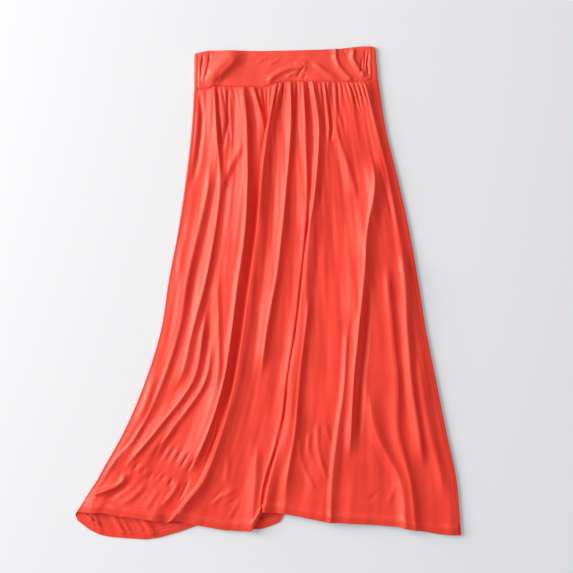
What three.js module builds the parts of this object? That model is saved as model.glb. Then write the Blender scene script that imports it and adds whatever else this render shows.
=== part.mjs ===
import * as THREE from 'three';
import { mergeVertices } from 'three/addons/utils/BufferGeometryUtils.js';

// Maxi skirt of coral jersey, gathered into a wide waistband and laid flat on its back.
// Millimetres. +X is to the right, +Y towards the waistband and +Z up. The origin is on
// the surface that the skirt lies on, below the middle of its outline.

// Coral of each piece, deeper where the cloth faces down or in
const COLORS = {
  front: 0xee5443,
  back: 0xd94a3b,
  frontHem: 0xe04e3e,
  backHem: 0xc9443a,
  band: 0xf05b49,
  bandBack: 0xd64c3d,
};

// Cloth, seams and folded edges
const CLOTH = 1.3;           // wall of one layer of jersey
const BAND_CLOTH = 2.4;      // wall of the waistband, which is doubled over an elastic
const SEAM_GAP = 0.3;        // left between pieces that are sewn together
const SIDE_ROUND = 3.1;      // radius of the folded side edges
const LIE = 2 * SIDE_ROUND;  // height of the front's face where it has no fold
const HEM_TURN = 15;         // hem allowance turned up inside
const ARC_STEPS = 4;         // columns round each folded side edge
const STEPS = 4;             // columns from one line of the front to the next

// Folds of the front
const FLANK = 12;            // most that a fold's foot lies from its crest in the wall
const FLANK_SHARE = 0.3;     // and the share of the gap to the next crest that it takes
const FADE = 45;             // length over which a fold rises and dies away
const SEAM_HOLD = 70;        // length below the waist seam over which folds fill out
const HELD = 0.35;           // share of a fold's rise that the waist seam lets through
const SIDE_HOLD = 14;        // width beside the side seams over which folds flatten
const BILLOW = 0.8;          // rise of the cloth midway between two folds

// Gathers: every second column of the wall is a gather
const GATHER_RISE = 2.1;     // height of a gather where it is fullest
const GATHER_AT_SEAM = 0.4;  // share of it that the waist seam leaves
const GATHER_FULL = 14;      // distance below the waist seam where it is fullest
const GATHER_RUN = 95;       // distance below the waist seam where it has died away
const BACK_GATHER_RISE = 1.6;
const BACK_COLUMN = 24;      // widest column of the back panel

// Ten sections across the skirt. The first follows the waist seam and the last the hem,
// so their heights here are only nominal.
const SECTIONS = [
  { y: 390, leftEdge: -141, leftSeam: -135, rightSeam: 197, rightEdge: 208 },
  { y: 310, leftEdge: -146, leftSeam: -141, rightSeam: 217, rightEdge: 223 },
  { y: 215, leftEdge: -157, leftSeam: -151, rightSeam: 239, rightEdge: 246 },
  { y: 120, leftEdge: -171, leftSeam: -167, rightSeam: 258, rightEdge: 267 },
  { y: 25, leftEdge: -189, leftSeam: -186, rightSeam: 275, rightEdge: 284 },
  { y: -70, leftEdge: -204, leftSeam: -201, rightSeam: 291, rightEdge: 299 },
  { y: -165, leftEdge: -233, leftSeam: -230, rightSeam: 311, rightEdge: 318 },
  { y: -260, leftEdge: -273, leftSeam: -270, rightSeam: 330, rightEdge: 337 },
  { y: -355, leftEdge: -325, leftSeam: -322, rightSeam: 351, rightEdge: 357 },
  { y: -440, leftEdge: -366, leftSeam: -363, rightSeam: 361, rightEdge: 366 },
];

// Lines of the front's cloth, left to right, each along the crest of a long fold: its X
// at the ten sections. Where the fold has died away the line goes on between the others.
const LINES = {
  outerSweep: [-120, -117, -112, -131, -153, -176, -204, -263, -316, -350],
  leftLong: [-102, -98, -91, -100, -118, -152, -170, -246, -305, -335],
  upperSweep: [-88, -75, -76, -90, -111, -127, -150, -229, -291, -316],
  lowerSweep: [-75, -63, -64, -79, -102, -113, -130, -191, -244, -272],
  leftBroad: [-62, -53, -54, -67, -93, -94, -99, -130, -183, -225],
  leftMiddle: [-45, -40, -39, -44, -57, -71, -86, -108, -151, -203],
  split: [-27, -18, -27, -33, -45, -60, -75, -98, -137, -194],
  knife: [14, 3, -11, -21, -34, -47, -63, -87, -124, -184],
  centre: [43, 42, 35, 26, 14, -3, -14, -20, -25, -31],
  lip: [67, 70, 73, 70, 60, 48, 33, 21, -8, -18],
  lap: [83, 95, 90, 78, 67, 55, 41, 30, 3, -9],
  behindLap: [107, 115, 108, 94, 81, 70, 59, 51, 35, 30],
  small: [118, 125, 130, 125, 115, 108, 102, 95, 87, 79],
  rightMiddle: [130, 137, 155, 155, 151, 148, 144, 131, 120, 117],
  rightLong: [151, 176, 197, 187, 180, 171, 164, 159, 155, 155],
  bent: [161, 185, 206, 206, 201, 195, 191, 204, 256, 267],
  rightInner: [170, 194, 216, 225, 225, 234, 244, 245, 268, 279],
  rightOuter: [179, 205, 228, 245, 258, 263, 270, 284, 296, 307],
  edgeFold: [188, 211, 234, 252, 267, 278, 290, 305, 328, 338],
};

// Long folds of the front. Each follows a line from one height down to another, rises by
// rise, and slopes over left and right to the cloth beside it.
const FOLDS = [
  { line: 'outerSweep', from: 253, to: -265, rise: 4.5, left: 14, right: 11 },
  { line: 'leftLong', from: 390, to: -195, rise: 5.5, left: 12, right: 12 },
  { line: 'upperSweep', from: 285, to: 180, rise: 3.5, left: 9, right: 9 },
  { line: 'upperSweep', from: 5, to: -330, rise: 6, left: 11, right: 12 },
  { line: 'lowerSweep', from: -95, to: -305, rise: 6, left: 10, right: 13 },
  { line: 'leftBroad', from: 50, to: -215, rise: 4, left: 16, right: 11 },
  { line: 'leftMiddle', from: 390, to: -350, rise: 8, left: 12, right: 12 },
  { line: 'split', from: 390, to: 205, rise: 4, left: 10, right: 8 },
  { line: 'knife', from: 390, to: -440, rise: 9, left: 9, right: 20 },
  { line: 'centre', from: 390, to: -165, rise: 7, left: 14, right: 13 },
  { line: 'centre', from: -270, to: -440, rise: 7, left: 12, right: 11 },
  { line: 'lip', from: 390, to: 95, rise: 5.5, left: 12, right: 9 },
  { line: 'lip', from: -300, to: -440, rise: 4, left: 9, right: 5 },
  { line: 'lap', from: 390, to: -425, rise: 8, left: 7, right: 17 },
  { line: 'behindLap', from: 350, to: 240, rise: 3.5, left: 9, right: 9 },
  { line: 'behindLap', from: 5, to: -400, rise: 4.5, left: 11, right: 13 },
  { line: 'small', from: -235, to: -385, rise: 4, left: 12, right: 12 },
  { line: 'rightMiddle', from: 340, to: 150, rise: 3.5, left: 14, right: 13 },
  { line: 'rightMiddle', from: -50, to: -440, rise: 7, left: 10, right: 16 },
  { line: 'rightLong', from: 240, to: -300, rise: 8, left: 11, right: 16 },
  { line: 'bent', from: -170, to: -440, rise: 6, left: 15, right: 13 },
  { line: 'rightInner', from: 60, to: -430, rise: 5, left: 12, right: 11 },
  { line: 'rightOuter', from: 335, to: -340, rise: 6.5, left: 11, right: 14 },
  { line: 'edgeFold', from: -100, to: -400, rise: 4.5, left: 14, right: 15 },
];

// Lines across the skirt, left to right
const WAIST_SEAM = [
  { x: -141, y: 390 }, { x: -118, y: 388 }, { x: -105, y: 393 }, { x: -54, y: 390 },
  { x: -8, y: 390 }, { x: 12, y: 397 }, { x: 28, y: 401 }, { x: 184, y: 401 },
  { x: 194, y: 406 }, { x: 208, y: 406 },
];
const FRONT_HEM = [
  { x: -366, y: -416 }, { x: -314, y: -417 }, { x: -284, y: -425 }, { x: -216, y: -436 },
  { x: -189, y: -442 }, { x: -183, y: -429 }, { x: -132, y: -441 }, { x: -82, y: -450 },
  { x: -31, y: -452 }, { x: -12, y: -414 }, { x: 30, y: -418 }, { x: 111, y: -434 },
  { x: 197, y: -439 }, { x: 244, y: -443 }, { x: 328, y: -458 }, { x: 366, y: -460 },
];
const BACK_HEM = [
  { x: -366, y: -429 }, { x: -339, y: -450 }, { x: -320, y: -459 }, { x: -301, y: -463 },
  { x: -234, y: -468 }, { x: -206, y: -464 }, { x: -168, y: -453 }, { x: -132, y: -440 },
  { x: -82, y: -444 }, { x: -35, y: -449 }, { x: -12, y: -448 }, { x: 7, y: -441 },
  { x: 24, y: -434 }, { x: 30, y: -416 }, { x: 117, y: -427 }, { x: 197, y: -433 },
  { x: 294, y: -445 }, { x: 366, y: -456 },
];
const BAND_TOP = [
  { x: -141, y: 453 }, { x: -130, y: 457 }, { x: -111, y: 460 }, { x: -12, y: 459 },
  { x: 60, y: 460.5 }, { x: 136, y: 463 }, { x: 159, y: 466 }, { x: 178, y: 468 },
  { x: 197, y: 468 }, { x: 204, y: 465 },
];

// The waistband's ends at its top edge; at its lower edge it is as wide as the skirt
const BAND_TOP_ENDS = { leftEdge: -140.5, leftSeam: -133, rightSeam: 196, rightEdge: 203 };
const ELASTIC_RISE = 0.9;    // small upright wrinkles where the elastic draws the band in
const ELASTIC_ZONE = 38;     // width of them at each end
const BAND_ROWS = 5;
const CREASE_END = 0.1;      // share of a crease's length over which it starts and ends
// Soft slanting creases of the band's front, each from one point up to another
const BAND_CREASES = [
  { x: -112, y: 400, toX: -58, toY: 452, rise: 1.6, width: 13 },
  { x: 8, y: 402, toX: 74, toY: 432, rise: 1.4, width: 11 },
  { x: 128, y: 462, toX: 150, toY: 408, rise: 1.5, width: 10 },
  { x: 166, y: 464, toX: 182, toY: 408, rise: 1.5, width: 10 },
];

const lerp = THREE.MathUtils.lerp;
const smoothstep = THREE.MathUtils.smoothstep;

// Height of a line across the skirt at x
function heightAt(line, x) {
  const next = line.findIndex((point) => point.x > x);
  if (next === 0) return line[0].y;
  if (next < 0) return line[line.length - 1].y;
  const a = line[next - 1];
  const b = line[next];
  return lerp(a.y, b.y, (x - a.x) / (b.x - a.x));
}

// Straight run through values given at the sections 0, 1, 2 and so on. The side seams run
// so, which keeps the two panels the same distance apart whatever rows they have.
function straightAt(values, v) {
  const i = Math.min(Math.floor(v), values.length - 2);
  return lerp(values[i], values[i + 1], v - i);
}

// Smooth run through the same kind of values
function runAt(values, v) {
  const last = values.length - 1;
  const i = Math.min(Math.floor(v), last - 1);
  const slope = (k) => {
    const before = Math.max(k - 1, 0);
    const after = Math.min(k + 1, last);
    return (values[after] - values[before]) / (after - before);
  };
  const t = v - i;
  const rise = values[i + 1] - values[i];
  return values[i] + t * slope(i)
    + t * t * (3 * rise - 2 * slope(i) - slope(i + 1))
    + t * t * t * (slope(i) + slope(i + 1) - 2 * rise);
}

// A column of the skirt runs down the cloth, with its X and Y at each section
function columnOf(xs, topY, hemY) {
  const ys = SECTIONS.map((section) => section.y);
  ys[0] = topY;
  ys[ys.length - 1] = hemY;
  return { xs, ys };
}

const sectionsOf = (name) => SECTIONS.map((section) => section[name]);
const LAST = SECTIONS.length - 1;

function endsAt(v) {
  const ends = {};
  for (const name of ['leftEdge', 'leftSeam', 'rightSeam', 'rightEdge']) {
    ends[name] = straightAt(sectionsOf(name), v);
  }
  return ends;
}

// Height of the face over a folded side edge, at a distance in from the outline
function edgeHeight(inset) {
  if (inset >= SIDE_ROUND) return LIE;
  const across = SIDE_ROUND - Math.max(inset, 0);
  return SIDE_ROUND + Math.sqrt(SIDE_ROUND ** 2 - across ** 2);
}

// A wall is a flat box of columns by rows whose points are moved into place.
// place gives the point of a column and row on the wall's outer face or its inner face.
function wall(name, columns, rows, color, place) {
  const box = new THREE.BoxGeometry(columns, rows, 1, columns, rows, 1);
  box.deleteAttribute('normal');
  box.deleteAttribute('uv');
  const geometry = mergeVertices(box, 0.01);
  const position = geometry.attributes.position;
  for (let k = 0; k < position.count; k += 1) {
    const column = Math.round(position.getX(k) + columns / 2);
    const row = Math.round(position.getY(k) + rows / 2);
    const point = place(column, row, position.getZ(k) > 0);
    position.setXYZ(k, point.x, point.y, point.z);
  }
  geometry.computeVertexNormals();
  const material = new THREE.MeshStandardMaterial({ color, roughness: 0.72, metalness: 0 });
  const mesh = new THREE.Mesh(geometry, material);
  mesh.name = name;
  return mesh;
}

// Front panel: four columns from each line to the next, at the crest, at its right foot,
// midway, and at the left foot of the next crest
const frontLines = [sectionsOf('leftSeam'), ...Object.values(LINES), sectionsOf('rightSeam')];
const frontColumns = (frontLines.length - 1) * STEPS;

function frontColumnX(column, section) {
  const i = Math.min(Math.floor(column / STEPS), frontLines.length - 2);
  const from = frontLines[i][section];
  const gap = frontLines[i + 1][section] - from;
  const foot = Math.min(FLANK_SHARE * gap, FLANK);
  const offsets = [0, foot, gap / 2, gap - foot, gap];
  let x = from + offsets[column - i * STEPS];
  if (column === 0) x += SEAM_GAP / 2;
  if (column === frontColumns) x -= SEAM_GAP / 2;
  return x;
}

const frontCloth = Array.from({ length: frontColumns + 1 }, (_, column) => {
  const xs = SECTIONS.map((_, section) => frontColumnX(column, section));
  return columnOf(xs, heightAt(WAIST_SEAM, xs[0]) - SEAM_GAP, heightAt(FRONT_HEM, xs[LAST]));
});

// Share of a fold's rise at a distance across from its crest
function flank(across, left, right) {
  const t = Math.abs(across) / (across < 0 ? left : right);
  return t < 1 ? 0.5 + 0.5 * Math.cos(Math.PI * t) : 0;
}

function foldRise(x, y, v) {
  let sum = 0;
  for (const fold of FOLDS) {
    const begins = fold.from >= SECTIONS[0].y ? 1 : smoothstep(fold.from - y, 0, FADE);
    const ends = fold.to <= SECTIONS[LAST].y ? 1 : smoothstep(y - fold.to, 0, FADE);
    const across = x - runAt(LINES[fold.line], v);
    sum += fold.rise * begins * ends * flank(across, fold.left, fold.right);
  }
  return sum;
}

// A gather swells just below the seam and dies away down the cloth
function gatherRise(below, rise) {
  const swell = lerp(GATHER_AT_SEAM, 1, smoothstep(below, 0, GATHER_FULL));
  return rise * swell * (1 - smoothstep(below, GATHER_FULL, GATHER_RUN));
}

// Point of the front's face at a column, and at v sections down from the waist seam
function frontFace(column, v) {
  const cloth = frontCloth[column];
  const onSeam = column === 0 || column === frontColumns;
  const x = onSeam ? straightAt(cloth.xs, v) : runAt(cloth.xs, v);
  const y = straightAt(cloth.ys, v);
  const ends = endsAt(v);
  const inset = Math.min(x - ends.leftEdge, ends.rightEdge - x);
  const fromSeam = Math.min(x - ends.leftSeam, ends.rightSeam - x);
  const free = smoothstep(fromSeam, 0, SIDE_HOLD);
  const below = cloth.ys[0] - y;
  let rise = foldRise(x, y, v) * lerp(HELD, 1, smoothstep(below, 0, SEAM_HOLD));
  if (column % 2 === 1) rise += gatherRise(below, GATHER_RISE);
  if (column % STEPS === 2) rise += BILLOW * smoothstep(below, 0, GATHER_RUN);
  return new THREE.Vector3(x, y, edgeHeight(inset) + free * rise);
}

// Rows from the hem up to the waist seam, close together where the gathers are
const gatherRows = [0, 0.08, 0.2, 0.42, 0.7];
const upperRows = Array.from({ length: 10 }, (_, k) => 1 + k / 2);
const lowerRows = Array.from({ length: 10 }, (_, k) => 6 + k / 3);
const frontRows = [...gatherRows, ...upperRows, ...lowerRows].reverse();

function skirtFront() {
  return wall('skirt_front', frontColumns, frontRows.length - 1, COLORS.front, (column, row, outer) => {
    const point = frontFace(column, frontRows[row]);
    if (!outer) point.z -= CLOTH;
    return point;
  });
}

// The rest of a tube's section, from the right seam round the right edge, under and round
// the left edge to the left seam. A column is a step round an edge, or a share of the way
// from left to right along the flat underside.
function tubeColumns(shares) {
  const steps = Array.from({ length: ARC_STEPS }, (_, k) => k);
  return [
    ...steps.map((step) => ({ side: 'right', step })),
    ...[...shares].reverse().map((share) => ({ share })),
    ...steps.reverse().map((step) => ({ side: 'left', step })),
  ];
}

// Point of that section. ends gives the edges and seams there, and lift raises the flat
// underside. A step round an edge turns from the seam down to the underside.
function tubePoint(spot, ends, lift, cloth, outer) {
  if (spot.side === undefined) {
    const x = lerp(ends.leftEdge + SIDE_ROUND, ends.rightEdge - SIDE_ROUND, spot.share);
    return { x, z: outer ? lift : lift + cloth };
  }
  const out = spot.side === 'left' ? -1 : 1;
  const edge = ends[`${spot.side}Edge`];
  const inset = (edge - ends[`${spot.side}Seam`]) * out - SEAM_GAP / 2;
  if (spot.step === 0) {
    return { x: edge - out * inset, z: edgeHeight(inset) - (outer ? 0 : cloth) };
  }
  const across = Math.max(SIDE_ROUND - inset, 0);
  const start = Math.acos(across / SIDE_ROUND);
  const angle = lerp(start, -Math.PI / 2, spot.step / ARC_STEPS);
  const radius = outer ? SIDE_ROUND : SIDE_ROUND - cloth;
  const x = edge - out * SIDE_ROUND + out * radius * Math.cos(angle);
  return { x, z: SIDE_ROUND + radius * Math.sin(angle) };
}

// Shares of the underside's columns: one at each point of the back hem, and more between
// where they are far apart
function backShares() {
  const left = SECTIONS[LAST].leftEdge + SIDE_ROUND;
  const width = SECTIONS[LAST].rightEdge - SIDE_ROUND - left;
  const shares = [0];
  BACK_HEM.slice(1).forEach((point) => {
    const to = Math.min((point.x - left) / width, 1);
    const from = shares.at(-1);
    const parts = Math.ceil(((to - from) * width) / BACK_COLUMN);
    for (let k = 1; k <= parts; k += 1) shares.push(lerp(from, to, k / parts));
  });
  return shares;
}

const backSpots = tubeColumns(backShares());

// Round a side edge the hem runs from the front's hem to the back's
function backHemY(spot, x) {
  if (spot.side === undefined) return heightAt(BACK_HEM, x);
  return lerp(heightAt(FRONT_HEM, x), heightAt(BACK_HEM, x), spot.step / ARC_STEPS);
}

// Point of the back panel's underside or inside, v sections down from the waist seam
function backPoint(column, v, outer) {
  const spot = backSpots[column];
  const topX = tubePoint(spot, SECTIONS[0], 0, CLOTH, true).x;
  const hemX = tubePoint(spot, SECTIONS[LAST], 0, CLOTH, true).x;
  const cloth = columnOf([], heightAt(WAIST_SEAM, topX) - SEAM_GAP, backHemY(spot, hemX));
  const y = straightAt(cloth.ys, v);
  const lift = column % 2 === 1 ? gatherRise(cloth.ys[0] - y, BACK_GATHER_RISE) : 0;
  const point = tubePoint(spot, endsAt(v), lift, CLOTH, outer);
  return new THREE.Vector3(point.x, y, point.z);
}

const backRows = [0, 0.12, 0.4, 1, 2, 3, 4, 5, 6, 7, 8, 8.6, 9].reverse();

function skirtBack() {
  return wall('skirt_back', backSpots.length - 1, backRows.length - 1, COLORS.back, (column, row, outer) => (
    backPoint(column, backRows[row], outer)
  ));
}

// Hem allowances: a strip along each hem, turned up inside and made from the panel's points
function turnUp(name, columns, color, hemPoint) {
  return wall(name, columns, 1, color, (column, row, outer) => hemPoint(column, row * HEM_TURN, outer));
}

function frontTurnUp() {
  const skipped = 1;
  const lengthOf = (column) => SECTIONS[LAST - 1].y - frontCloth[column].ys[LAST];
  return turnUp('front_hem_turnup', frontColumns - 2 * skipped, COLORS.frontHem, (k, up, outer) => {
    const column = k + skipped;
    const point = frontFace(column, LAST - up / lengthOf(column));
    point.z -= CLOTH + SEAM_GAP + (outer ? 0 : CLOTH);
    return point;
  });
}

function backTurnUp() {
  const skipped = ARC_STEPS + 1;
  return turnUp('back_hem_turnup', backSpots.length - 1 - 2 * skipped, COLORS.backHem, (k, up, outer) => {
    const column = k + skipped;
    const length = SECTIONS[LAST - 1].y - backPoint(column, LAST, true).y;
    const point = backPoint(column, LAST - up / length, true);
    point.z += CLOTH + SEAM_GAP + (outer ? 0 : CLOTH);
    return point;
  });
}

// Waistband: v runs from 0 at its top edge to 1 at the waist seam
function bandEnds(v) {
  const ends = {};
  for (const name of Object.keys(BAND_TOP_ENDS)) {
    ends[name] = lerp(BAND_TOP_ENDS[name], SECTIONS[0][name], v);
  }
  return ends;
}

const bandY = (x, v) => lerp(heightAt(BAND_TOP, x), heightAt(WAIST_SEAM, x), v);

// The band's columns are the skirt's, so that the two edges of the waist seam run alike
function bandColumnX(column, ends) {
  const { leftSeam, rightSeam } = SECTIONS[0];
  const share = (frontColumnX(column, 0) - leftSeam) / (rightSeam - leftSeam);
  return lerp(ends.leftSeam, ends.rightSeam, share);
}

// Share of a slanting crease's rise at a point of the band
function creaseShare(crease, x, y) {
  const run = new THREE.Vector2(crease.toX - crease.x, crease.toY - crease.y);
  const here = new THREE.Vector2(x - crease.x, y - crease.y);
  const along = THREE.MathUtils.clamp(here.dot(run) / run.lengthSq(), 0, 1);
  const away = here.sub(run.multiplyScalar(along)).length();
  return flank(away, crease.width, crease.width) * Math.sin(Math.PI * lerp(CREASE_END, 1 - CREASE_END, along));
}

function waistbandFront() {
  return wall('waistband_front', frontColumns, BAND_ROWS, COLORS.band, (column, row, outer) => {
    const v = 1 - row / BAND_ROWS;
    const ends = bandEnds(v);
    const x = bandColumnX(column, ends);
    const fromEnd = Math.min(x - ends.leftSeam, ends.rightSeam - x);
    const free = smoothstep(fromEnd, 0, SIDE_ROUND);
    let rise = 0;
    for (const crease of BAND_CREASES) rise += crease.rise * creaseShare(crease, x, bandY(x, v));
    if (column % 2 === 1) rise += ELASTIC_RISE * (1 - smoothstep(fromEnd, ELASTIC_ZONE / 2, ELASTIC_ZONE));
    return new THREE.Vector3(x, bandY(x, v), LIE + free * rise - (outer ? 0 : BAND_CLOTH));
  });
}

function waistbandBack() {
  return wall('waistband_back', backSpots.length - 1, BAND_ROWS, COLORS.bandBack, (column, row, outer) => {
    const v = 1 - row / BAND_ROWS;
    const { x, z } = tubePoint(backSpots[column], bandEnds(v), 0, BAND_CLOTH, outer);
    return new THREE.Vector3(x, bandY(x, v), z);
  });
}

const skirt = new THREE.Group();
skirt.add(skirtFront(), skirtBack(), frontTurnUp(), backTurnUp(), waistbandFront(), waistbandBack());

export default skirt;
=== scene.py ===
import math
from collections import namedtuple

import bmesh
import bpy
import numpy as np
from mathutils import Matrix, Vector


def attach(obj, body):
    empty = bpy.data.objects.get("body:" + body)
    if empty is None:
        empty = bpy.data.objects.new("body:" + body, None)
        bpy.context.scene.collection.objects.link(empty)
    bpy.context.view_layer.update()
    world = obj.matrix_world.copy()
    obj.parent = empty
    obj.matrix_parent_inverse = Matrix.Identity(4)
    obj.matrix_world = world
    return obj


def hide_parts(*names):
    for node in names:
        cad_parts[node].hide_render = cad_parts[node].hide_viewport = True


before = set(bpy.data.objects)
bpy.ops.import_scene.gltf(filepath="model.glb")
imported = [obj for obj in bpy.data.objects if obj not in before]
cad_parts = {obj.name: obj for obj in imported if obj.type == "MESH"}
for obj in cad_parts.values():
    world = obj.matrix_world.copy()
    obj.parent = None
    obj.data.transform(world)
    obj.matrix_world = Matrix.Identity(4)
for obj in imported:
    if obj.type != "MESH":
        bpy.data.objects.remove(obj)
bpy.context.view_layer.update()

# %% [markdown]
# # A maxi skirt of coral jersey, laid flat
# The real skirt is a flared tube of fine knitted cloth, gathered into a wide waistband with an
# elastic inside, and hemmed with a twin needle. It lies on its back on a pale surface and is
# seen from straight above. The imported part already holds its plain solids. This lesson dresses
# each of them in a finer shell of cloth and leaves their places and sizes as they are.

MM = 0.001

# %% [markdown]
# ## Sizes of the cloth
# Jersey is thin, so a seam or a folded edge gives the garment its height: a side edge is a soft
# roll, and a hem is two layers. All sizes are in millimetres until the points go into a mesh.

# %% Sizes of the cloth
CLOTH = 1.2          # wall of one layer
BAND_CLOTH = 2.4     # the waistband is double, with an elastic between
SEAM_GAP = 0.3       # between pieces that are sewn together
SIDE_ROUND = 3.1     # radius of the folded side edges
LIE = 2 * SIDE_ROUND  # height of the front's face where it has no fold
HEM_TURN = 17        # hem allowance turned up inside
TWIN_ROWS = (11.5, 15.0)  # distance of the two rows of hem stitches above the hem
NEEDLE_DIP = 0.8     # how deep those stitches draw the cloth in
HEM_STAND = 3.4      # height of the hem's two layers at the needle, which slope to the edge
HEM_SLOPE = 12       # width of that slope
HEM_STEP = (14, 21)  # where the step down to the single layer starts and ends, above the hem
WAIST_DIP = 1.5      # how far the cloth dips into the waist seam
SIDE_DIP = 0.3       # how far it dips into a side seam
SEAM_HOLD = 30       # length below the waist seam over which folds fill out
HELD = 0.6           # share of a fold that the waist seam lets through
SIDE_HOLD = 12       # width beside the side seams over which folds flatten
FADE = 55            # length over which a fold rises and dies away
SHORT_TAPER = 0.3    # share of a short crease over which each end dies away
LONG_TAPER = 0.12    # and of a crease of five points or more
CREST_ROUND = 0.9    # how round the cloth is over the sharpest crest
PINCH = 6            # width left of a sharp crest over which the cloth is pinched up
PINCH_SHARE = 0.22   # share of the fold's rise that the pinch has

# %% [markdown]
# ## The outline, as sections across the skirt
# A pattern cutter measures a skirt at a few heights. Each row here is one such height with its
# two folded edges and two side seams. The first row follows the waist seam and the last the
# hem, so the heights of those two are only nominal. Curves between the rows are smooth, because
# cloth doesn't turn corners along its length.

# %% Sections
Section = namedtuple("Section", "y left_edge left_seam right_seam right_edge")
SECTIONS = [
    Section(390, -141, -135, 197, 208),
    Section(310, -146, -141, 217, 223),
    Section(215, -157, -151, 239, 246),
    Section(120, -171, -167, 258, 267),
    Section(25, -189, -186, 275, 284),
    Section(-70, -204, -201, 291, 299),
    Section(-165, -233, -230, 311, 318),
    Section(-260, -273, -270, 330, 337),
    Section(-355, -325, -322, 351, 357),
    Section(-440, -366, -363, 361, 366),
]
LAST = len(SECTIONS) - 1
TOP = SECTIONS[0].y
print(len(SECTIONS), "sections,", TOP - SECTIONS[LAST].y, "mm from waist seam to hem")

# %% [markdown]
# ## Lines of the cloth
# Each long fold of the front has a crest that wanders down the skirt. Its X at the ten sections
# is one row of the table. The columns of the mesh run along these lines, so that a narrow crest
# is a clean edge and never a staircase.

# %% Crest lines
LINES = {
    "outer_sweep": [-120, -117, -112, -131, -153, -168, -199, -243, -312, -350],
    "left_long": [-102, -98, -91, -100, -118, -143, -168, -229, -300, -335],
    "upper_sweep": [-88, -75, -76, -90, -111, -123, -142, -212, -287, -316],
    "lower_sweep": [-75, -63, -64, -79, -102, -109, -119, -183, -248, -275],
    "left_broad": [-62, -53, -54, -67, -93, -94, -97, -134, -190, -228],
    "left_middle": [-45, -40, -39, -44, -57, -69, -84, -113, -157, -205],
    "split": [-28, -9, -25, -33, -45, -60, -75, -98, -137, -194],
    "knife": [16, -1, -13, -21, -34, -47, -63, -87, -124, -184],
    "centre": [43, 42, 35, 26, 14, -3, -14, -20, -25, -31],
    "lip": [67, 70, 73, 70, 60, 48, 33, 21, -8, -18],
    "lap": [83, 95, 90, 78, 67, 55, 41, 30, 3, -9],
    "behind_lap": [107, 115, 108, 94, 81, 70, 59, 51, 35, 30],
    "small": [118, 125, 130, 125, 115, 108, 102, 95, 87, 79],
    "right_middle": [130, 137, 155, 155, 151, 148, 144, 131, 120, 117],
    "right_long": [151, 180, 201, 187, 180, 170, 161, 156, 153, 153],
    "bent": [161, 185, 206, 206, 201, 195, 191, 203, 249, 259],
    "right_inner": [170, 194, 216, 225, 225, 234, 244, 245, 268, 279],
    "right_outer": [179, 205, 228, 245, 258, 263, 270, 284, 296, 307],
    "edge_fold": [188, 211, 234, 252, 267, 278, 290, 305, 328, 338],
}
print(len(LINES), "crest lines")

# %% [markdown]
# ## Long folds
# A fold rises above the cloth beside it and slopes down over left and right millimetres. The
# light comes from the upper left, so the left slope shows bright and the right slope dark, and
# a short left slope gives the thin bright line that some of these folds have. A sharp fold is
# steepest beside its crest, as jersey is where it is pinched, and a blunt one is a soft roll.
# A fold that changes on its way down has a row for each stretch, and the stretches overlap. The
# first three rows are low and broad: they are the slow rise and fall of the whole cloth.

# %% Long folds of the front
Fold = namedtuple("Fold", "line top bottom rise left right sharp_left sharp_right")
LONG_FOLDS = [
    # Low, broad slopes of the whole cloth
    Fold("left_middle", 405, 60, 3.0, 90, 55, 0.0, 0.0),
    Fold("right_outer", 405, 60, 2.0, 110, 20, 0.0, 0.0),
    Fold("right_middle", 120, -460, 5.0, 150, 190, 0.0, 0.0),
    # Left side
    Fold("outer_sweep", 253, -300, 5.0, 22, 14, 0.9, 0.9),
    Fold("left_long", 395, 200, 5.5, 20, 8, 0.9, 0.8),
    Fold("left_long", 255, -195, 7.0, 22, 14, 0.9, 0.9),
    Fold("upper_sweep", -30, -340, 6.0, 29, 13, 0.9, 0.9),
    Fold("lower_sweep", -80, -320, 5.5, 29, 12, 0.9, 0.9),
    Fold("left_broad", 50, -190, 4.5, 22, 10, 0.4, 0.8),
    Fold("left_middle", 395, 180, 7.0, 26, 9, 0.9, 0.9),
    Fold("left_middle", 235, -350, 11.5, 50, 20, 0.9, 0.9),
    Fold("split", 395, 270, 5.0, 13, 8, 0.7, 0.7),
    # Middle
    Fold("knife", 405, 110, 7.5, 5, 19, 0.3, 0.7),
    Fold("knife", 165, -460, 6.5, 4.2, 32, 0.3, 0.1),
    Fold("knife", -180, -470, 4.0, 10, 18, 0.3, 0.8),
    Fold("centre", 405, 130, 7.5, 22, 11, 0.9, 0.9),
    Fold("centre", 185, -165, 9.0, 34, 14, 0.9, 0.9),
    Fold("centre", -270, -460, 4.5, 22, 14, 0.5, 0.5),
    Fold("lip", 405, 95, 7.0, 20, 12, 0.9, 0.9),
    Fold("lip", 150, -440, 3.5, 14, 4.5, 0.8, 0.3),
    Fold("lap", 405, 120, 8.5, 10, 15, 0.9, 0.9),
    Fold("lap", 175, -440, 7.0, 5.0, 26, 0.6, 0.1),
    Fold("behind_lap", 405, 250, 3.5, 8, 12, 0.5, 0.5),
    Fold("behind_lap", 5, -400, 5.5, 24, 12, 0.9, 0.9),
    Fold("behind_lap", -200, -440, 3.5, 22, 24, 0.5, 0.6),
    # Right side
    Fold("right_middle", -50, -460, 6.0, 8, 18, 0.7, 0.9),
    Fold("right_long", 265, -80, 11.5, 44, 25, 0.9, 0.9),
    Fold("right_long", -25, -320, 10.0, 16, 18, 0.8, 0.8),
    Fold("bent", -170, -460, 5.5, 20, 20, 0.7, 0.8),
    Fold("bent", -320, -470, 4.5, 18, 36, 0.5, 0.9),
    Fold("right_inner", 60, -460, 7.0, 20, 13, 0.9, 0.9),
    Fold("right_outer", 395, 70, 2.0, 9, 10, 0.8, 0.8),
    Fold("right_outer", 95, -340, 8.5, 22, 13, 0.9, 0.9),
    Fold("edge_fold", -100, -400, 4.5, 17, 18, 0.5, 0.5),
]
print(len(LONG_FOLDS), "long folds")

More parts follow.
